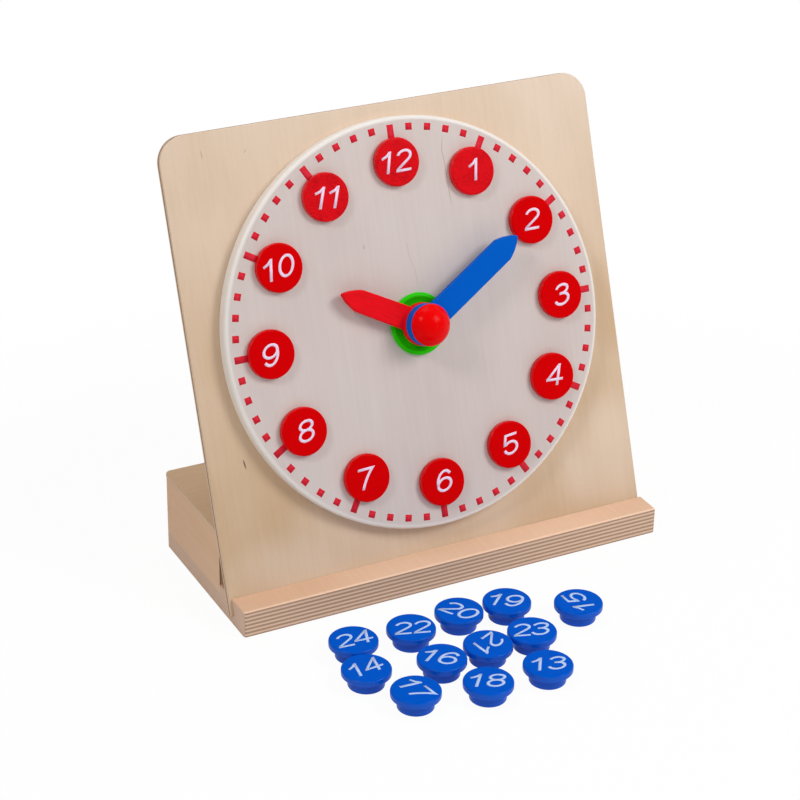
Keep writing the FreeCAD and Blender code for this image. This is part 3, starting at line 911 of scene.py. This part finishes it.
@dataclass
class NumberDiscs:
    """The twelve plugged red discs and the twelve loose blue ones, with their printed numbers."""

    frame: DialFrame
    ring: float = 103.6 * MM
    flange_top: float = 4.5 * MM
    last_hour: int = 12
    # The three top discs, whose lighter, pinker red is partly a painted sheen.
    worn_discs: tuple[str, ...] = ("red_disc_11", "red_disc_12", "red_disc_01")
    numerals: Numerals = field(default_factory=Numerals)

    def dress_discs(self, nodes: dict[str, bpy.types.Object]) -> None:
        """Gives each disc its plastic.

        Args:
            nodes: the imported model's nodes by name.
        """
        plain = [name for name in nodes if name.startswith("red_disc") and name not in self.worn_discs]
        loose = [name for name in nodes if name.startswith("blue_disc")]
        dress_all(nodes, plain, Gloss(
            "disc_red", srgb(218, 0, 4), srgb(184, 0, 4), roughness=0.28, speckle=0.3, grain=1400.0,
            depth=0.05 * MM, specular=0.02, polished=self.frame.out,
        ))
        # The three top discs get a lighter, pinker red with coarser speckles: their speckled texture
        # together with a painted sheen standing in for the light they catch.
        dress_all(nodes, self.worn_discs, Gloss(
            "disc_red_sheen_speckled", srgb(226, 8, 22), srgb(170, 0, 8), roughness=0.34, speckle=0.9, grain=900.0,
            depth=0.12 * MM, specular=0.06, polished=self.frame.out,
        ))
        dress_all(nodes, loose, Gloss(
            "disc_blue", srgb(0, 88, 205), srgb(0, 72, 184), roughness=0.28, grain=1100.0, specular=0.01,
            polished=Vector((0, 0, 1)), coat=0.4,
        ))

    def print_numbers(self) -> None:
        """Prints the number on each disc's top as a thin slab that rides with it."""
        on_red = Print("number_on_red", srgb(243, 224, 246), srgb(228, 200, 228)).material()
        on_blue = Print("number_on_blue", srgb(192, 216, 255), srgb(168, 198, 250)).material()
        for value, stamp in STAMPS.items():
            points, quads = self.numerals.number(value, stamp.step)
            points = self.turned(points, stamp.turn) + np.array([stamp.right, stamp.up, 0.0]) * MM
            name = f"number_{value:02d}"
            if value <= self.last_hour:
                turn = 2 * math.pi * value / self.last_hour
                middle = np.array([self.ring * math.sin(turn), self.ring * math.cos(turn), self.flange_top])
                points = self.frame.place(points + middle)
                self.finish_number(name, points, quads, on_red, f"red_disc_{value:02d}")
            else:
                low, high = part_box(f"blue_disc_{value:02d}")
                middle = np.array([(low.x + high.x) / 2, (low.y + high.y) / 2, high.z])
                self.finish_number(name, points + middle, quads, on_blue, f"blue_disc_{value:02d}")

    @staticmethod
    def turned(points: np.ndarray, degrees: float) -> np.ndarray:
        """Turns points anticlockwise about z.

        Args:
            points: rows of x, y, z.
            degrees: the turn.

        Returns:
            The turned points.
        """
        angle = math.radians(degrees)
        cosine, sine = math.cos(angle), math.sin(angle)
        turn = np.array([[cosine, sine, 0.0], [-sine, cosine, 0.0], [0.0, 0.0, 1.0]])
        return points @ turn

    @staticmethod
    def finish_number(
        name: str, points: np.ndarray, quads: np.ndarray, ink: bpy.types.Material, body: str
    ) -> None:
        """Makes a number's mesh, inks it and lets it ride on its disc.

        Args:
            name: the piece's name.
            points: its points in the row frame.
            quads: its faces.
            ink: its material.
            body: the disc that it rides on.
        """
        piece = make_mesh(name, points, quads)
        dress(piece, ink)
        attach(piece, body)


@dataclass
class Dial:
    """The painted dial with its printed minute marks, and the collar with its nut and washer."""

    frame: DialFrame
    marks: int = 60
    marks_per_hour: int = 5
    outer: float = 127.2 * MM
    mark_width: float = 4.5 * MM
    minute_length: float = 4.5 * MM
    hour_length: float = 14.0 * MM
    sink: float = 0.04 * MM
    rise: float = 0.04 * MM

    def print_marks(self) -> None:
        """Prints the minute and hour marks on the dial's face as thin slabs."""
        shapes = []
        for mark in range(self.marks):
            turn = 2 * math.pi * mark / self.marks
            length = self.minute_length if mark % self.marks_per_hour else self.hour_length
            outward = np.array([math.sin(turn), math.cos(turn)])
            path = np.array([outward * (self.outer - length), outward * self.outer])
            shapes.append(ribbon(path, self.mark_width, -self.sink, self.rise))
        points, quads = join_shapes(shapes)
        piece = make_mesh("minute_marks", self.frame.place(points), quads)
        dress(piece, Print("mark_ink", srgb(222, 32, 52), srgb(226, 58, 74)).material())
        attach(piece, "stand")

    def dress_parts(self, nodes: dict[str, bpy.types.Object]) -> None:
        """Paints the dial and gives the collar, nut and washer their plastic.

        Args:
            nodes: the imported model's nodes by name.
        """
        dress_all(nodes, ["dial"], DialPaint(self.frame))
        dress_all(nodes, ["centre_collar", "collar_nut"], Gloss(
            "collar_green", srgb(42, 206, 2), srgb(20, 162, 0), roughness=0.28, speckle=0.3, grain=700.0,
            specular=0.05,
        ))
        dress_all(nodes, ["hour_washer"], Gloss("washer_nylon", srgb(226, 224, 214), srgb(206, 203, 192)))


@dataclass
class Hands:
    """The two hands and the knob."""

    frame: DialFrame
    hour_hand_run: tuple[float, float] = (-0.879, 0.477)

    def dress_parts(self, nodes: dict[str, bpy.types.Object]) -> None:
        """Gives the hands and the knob their lacquer.

        Args:
            nodes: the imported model's nodes by name.
        """
        across, up = self.hour_hand_run
        fibre = self.frame.right * across + self.frame.up * up
        dress_all(nodes, ["hour_hand"], Gloss(
            "hour_hand_red", srgb(238, 12, 26), srgb(196, 10, 22), roughness=0.42, speckle=0.5, grain=1100.0,
            depth=0.1 * MM, specular=0.06, fibre=fibre,
        ))
        dress_all(nodes, ["minute_hand"], Gloss(
            "minute_hand_blue", srgb(0, 94, 200), srgb(0, 76, 180), roughness=0.38, grain=800.0,
            specular=0.03,
        ))
        dress_all(nodes, ["knob"], Gloss(
            "knob_red", srgb(242, 0, 2), srgb(208, 0, 2), roughness=0.18, speckle=0.2, grain=260.0,
            depth=0.01 * MM, specular=0.05,
        ))


@dataclass
class GearTrain:
    """Everything behind the panel that turns, carries or covers the gears."""

    gears: tuple[str, ...] = ("minute_pinion", "idler_gear", "hour_wheel", "hour_tube")
    shafts: tuple[str, ...] = ("minute_shaft", "idler_axle")
    plated: tuple[str, ...] = (
        "front_plate", "rear_plate", "plate_pillars", "plate_screws", "cover_screws", "dial_screws",
    )

    def dress_parts(self, nodes: dict[str, bpy.types.Object]) -> None:
        """Gives gears, shafts, plates, screws and the cover their finishes.

        Args:
            nodes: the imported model's nodes by name.
        """
        dress_all(nodes, self.gears, Gloss(
            "gear_acetal", srgb(232, 229, 216), srgb(206, 201, 184), roughness=0.4, speckle=0.3, grain=600.0,
        ))
        dress_all(nodes, self.shafts, Metal("ground_steel", (0.56, 0.56, 0.57), roughness=0.3))
        dress_all(nodes, self.plated, Metal(
            "zinc_plate", (0.63, 0.62, 0.58), roughness=0.38, brushing=(400.0, 400.0, 90.0),
        ))
        dress_all(nodes, ["gear_cover"], Gloss(
            "cover_ivory", srgb(226, 219, 202), srgb(206, 198, 180), roughness=0.5, speckle=0.4,
            grain=1200.0, depth=0.06 * MM,
        ))


@dataclass
class Stand:
    """The base board, the leaning panel, the storage box and its lid."""

    frame: DialFrame
    dial_thickness: float = 9.5 * MM
    panel_thickness: float = 5.0 * MM
    base_thickness: float = 18.0 * MM
    wall_thickness: float = 9.0 * MM
    front_wall_thickness: float = 6.0 * MM
    lid_thickness: float = 3.0 * MM

    def boards(self) -> list[Board]:
        """Every plywood board with its outer face, layers and grain.

        Returns:
            The boards, each named like its node.
        """
        x, y, z = Vector((1, 0, 0)), Vector((0, 1, 0)), Vector((0, 0, 1))
        frame = self.frame
        wall, front_wall = self.wall_thickness, self.front_wall_thickness
        marks = (
            Mark(0.12745, 0.12415, 0.0036, 0.0005, 0.35, 0.072),
            Mark(0.12535, 0.09545, 0.0016, 0.0006, 0.3, -0.84),
            Mark(-0.0662, 0.1275, 0.0040, 0.0008, 0.85, 0.164),
        )
        # Patches that lighten the foot of the panel's face and darken its top and right side, partly painted
        # light and shade.
        washes = (
            Mark(0.13, -0.06, 0.04, 0.05, 0.15),
            Mark(0.125, 0.13, 0.05, 0.05, 0.2),
            Mark(-0.015, -0.145, 0.04, 0.02, 0.3),
            Mark(-0.045, 0.145, 0.04, 0.03, -0.12),
            Mark(-0.115, -0.135, 0.05, 0.05, -0.55),
            Mark(-0.15, 0.12, 0.04, 0.06, -0.35),
            Mark(-0.14, 0.035, 0.06, 0.11, -0.5),
            Mark(-0.135, -0.07, 0.05, 0.06, -0.3),
        )
        ledge = (
            # The first patch is a pale strip along the top face's front edge, a painted highlight where that
            # edge catches the light; the other two warm the left end and lighten the middle.
            Mark(-0.1244, 0.0, 0.0018, 10.0, -0.8),
            Mark(-0.115, 0.30, 0.03, 0.08, 0.28),
            Mark(-0.115, 0.13, 0.03, 0.12, -0.3),
        )
        return [
            Board("base_board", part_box("base_board")[1], z, y, self.base_thickness, plies=13,
                  pale=srgb(250, 214, 186), warm=srgb(222, 182, 151), edge_pale=srgb(226, 194, 170),
                  edge_dark=srgb(174, 142, 118), level=0.75, figure=0.5, streak=0.4, cloud=0.4,
                  end_contrast=1.0, side_contrast=0.14, side_level=-0.2, washes=ledge, seed=0.3),
            # The panel's drift warms and darkens the face towards its foot: painted shade near the ledge.
            Board("face_panel", frame.centre - frame.out * self.dial_thickness, frame.out, frame.up,
                  self.panel_thickness, plies=3, pale=srgb(233, 211, 190), warm=srgb(205, 173, 137),
                  edge_pale=srgb(226, 194, 164), edge_dark=srgb(140, 114, 94), level=0.55, drift=-3.0,
                  figure=0.6, streak=0.3, cloud=0.25, side_contrast=0.9, washes=washes, marks=marks,
                  seed=1.1),
            Board("box_wall_left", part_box("box_wall_left")[0], -x, y, wall, plies=7,
                  pale=srgb(232, 196, 164), warm=srgb(216, 174, 138), seed=2.2),
            Board("box_wall_right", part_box("box_wall_right")[1], x, y, wall, plies=7, seed=3.4),
            Board("box_wall_back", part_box("box_wall_back")[1], y, x, wall, plies=7, seed=4.1),
            Board("box_wall_front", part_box("box_wall_front")[1], y, x, front_wall, plies=5, seed=5.7),
            # Light, close edge colours on the lid: a painted highlight along its thin edge.
            Board("lid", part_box("lid")[1], z, x, self.lid_thickness, plies=3, pale=srgb(222, 192, 160),
                  warm=srgb(203, 168, 132), edge_pale=srgb(230, 198, 168), edge_dark=srgb(196, 164, 136),
                  seed=6.9),
            Board("lid_battens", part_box("lid_battens")[1], z, y, self.lid_thickness, plies=1, seed=7.5),
        ]

    def dress_parts(self, nodes: dict[str, bpy.types.Object]) -> None:
        """Gives every board its plywood.

        Args:
            nodes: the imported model's nodes by name.
        """
        for board in self.boards():
            dress_all(nodes, [board.name], board)


class Lamp(Enum):
    """The studio's three lamps."""

    KEY = "key"
    LEFT = "left"
    TOP = "top"


@dataclass(frozen=True)
class SoftBox:
    """A square lamp: the direction in which it stands, its side in metres and its power in watts."""

    direction: tuple[float, float, float]
    size: float
    power: float


@dataclass
class Studio:
    """White floor and surroundings, three soft lamps and the camera."""

    camera_place: tuple[float, float, float] = (-0.65405, -1.22565, 0.81838)
    azimuth: float = 27.659
    elevation: float = 27.205
    roll: float = 1.007
    lens: float = 108.43
    sensor: float = 36.0
    clip_start: float = 0.05
    target: tuple[float, float, float] = (-0.0212, -0.0181, 0.1176)
    floor_half: float = 6.0
    floor_drop: float = 0.1 * MM
    floor_colour: Colour = (0.97, 0.97, 0.97)
    floor_roughness: float = 0.9
    ambient: float = 0.3
    lamps: dict[Lamp, SoftBox] = field(
        default_factory=lambda: {
            Lamp.KEY: SoftBox((0.502, -0.572, 0.649), size=0.75, power=15.2),
            Lamp.LEFT: SoftBox((-0.62, -0.22, 0.75), size=0.35, power=7.0),
            Lamp.TOP: SoftBox((0.0, 0.3, 0.95), size=0.9, power=6.4),
        }
    )
    lamp_distance: float = 1.8
    glow_centre: tuple[float, float, float] = (0.0, -0.05, 0.0)
    glow_from: float = 0.3
    glow_to: float = 0.55
    glow_near: float = 0.95

    def add_floor(self) -> None:
        """A white floor that keeps a faint shadow near the object and is seen as pure white further off."""
        half, low = self.floor_half, -self.floor_drop
        points = np.array([[-half, -half, low], [half, -half, low], [half, half, low], [-half, half, low]])
        floor = make_mesh("floor", points, np.array([[0, 1, 2, 3]]))
        shader = Shader("floor_white")
        shader.set("Base Color", self.floor_colour)
        shader.set("Roughness", self.floor_roughness)
        shader.set("Specular IOR Level", 0.0)
        far = shader.vectors("DISTANCE", {0: shader.place(), 1: self.glow_centre})
        reach = Socket(shader, far.outputs["Value"]).ease(self.glow_from, self.glow_to, self.glow_near, 1.0)
        white = shader.node("ShaderNodeEmission", values={"Color": WHITE, "Strength": 1.0})
        blend = shader.node(
            "ShaderNodeMixShader",
            values={0: reach * shader.seen(), 1: shader.principled.outputs[0], 2: white.outputs[0]},
        )
        shader.put(shader.output.inputs["Surface"], blend.outputs[0])
        dress(floor, shader.material)

    def add_world(self) -> None:
        """Soft even surroundings that are seen and mirrored as pure white."""
        world = bpy.data.worlds.new("studio")
        bpy.context.scene.world = world
        world.use_nodes = True
        nodes = Nodes(world.node_tree)
        background = nodes.tree.nodes["Background"]
        nodes.put(background.inputs["Strength"], nodes.seen() * (1.0 - self.ambient) + self.ambient)
        nodes.put(background.inputs["Color"], WHITE)

    def add_lamps(self) -> None:
        """Square soft lamps that point at the middle of the clock."""
        middle = Vector(self.target)
        for lamp, box in self.lamps.items():
            data = bpy.data.lights.new(lamp.value, "AREA")
            data.shape = "SQUARE"
            data.size = box.size
            data.energy = box.power
            made = bpy.data.objects.new(lamp.value, data)
            made.location = middle + Vector(box.direction).normalized() * self.lamp_distance
            made.rotation_euler = (middle - made.location).to_track_quat("-Z", "Y").to_euler()
            bpy.context.scene.collection.objects.link(made)

    def add_camera(self) -> None:
        """The camera at the photograph's place, with its small roll."""
        data = bpy.data.cameras.new("camera")
        data.sensor_width = self.sensor
        data.lens = self.lens
        data.clip_start = self.clip_start
        camera = bpy.data.objects.new("camera", data)
        turn = (
            Matrix.Rotation(math.radians(-self.azimuth), 3, "Z")
            @ Matrix.Rotation(math.radians(90 - self.elevation), 3, "X")
            @ Matrix.Rotation(math.radians(self.roll), 3, "Z")
        )
        camera.matrix_world = Matrix.Translation(self.camera_place) @ turn.to_4x4()
        bpy.context.scene.collection.objects.link(camera)
        bpy.context.scene.camera = camera

    def build(self) -> None:
        """Sets the whole studio up."""
        bpy.context.scene.view_settings.view_transform = "Standard"
        self.add_floor()
        self.add_world()
        self.add_lamps()
        self.add_camera()


def main() -> None:
    """Builds the looks in order."""
    logging.basicConfig(level=logging.INFO, format="%(message)s")
    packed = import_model()
    nodes = packed["nodes"]
    turn = next(joint for joint in packed["joints"] if joint["name"] == "minute_turn")
    frame = DialFrame(Vector(turn["pos_m"]), -Vector(turn["axis"]))
    studio = Studio()
    studio.build()
    for part in (Stand(frame), Dial(frame), Hands(frame), GearTrain()):
        part.dress_parts(nodes)
    Dial(frame).print_marks()
    discs = NumberDiscs(frame)
    discs.dress_discs(nodes)
    discs.print_numbers()


if __name__ == "__main__":
    main()
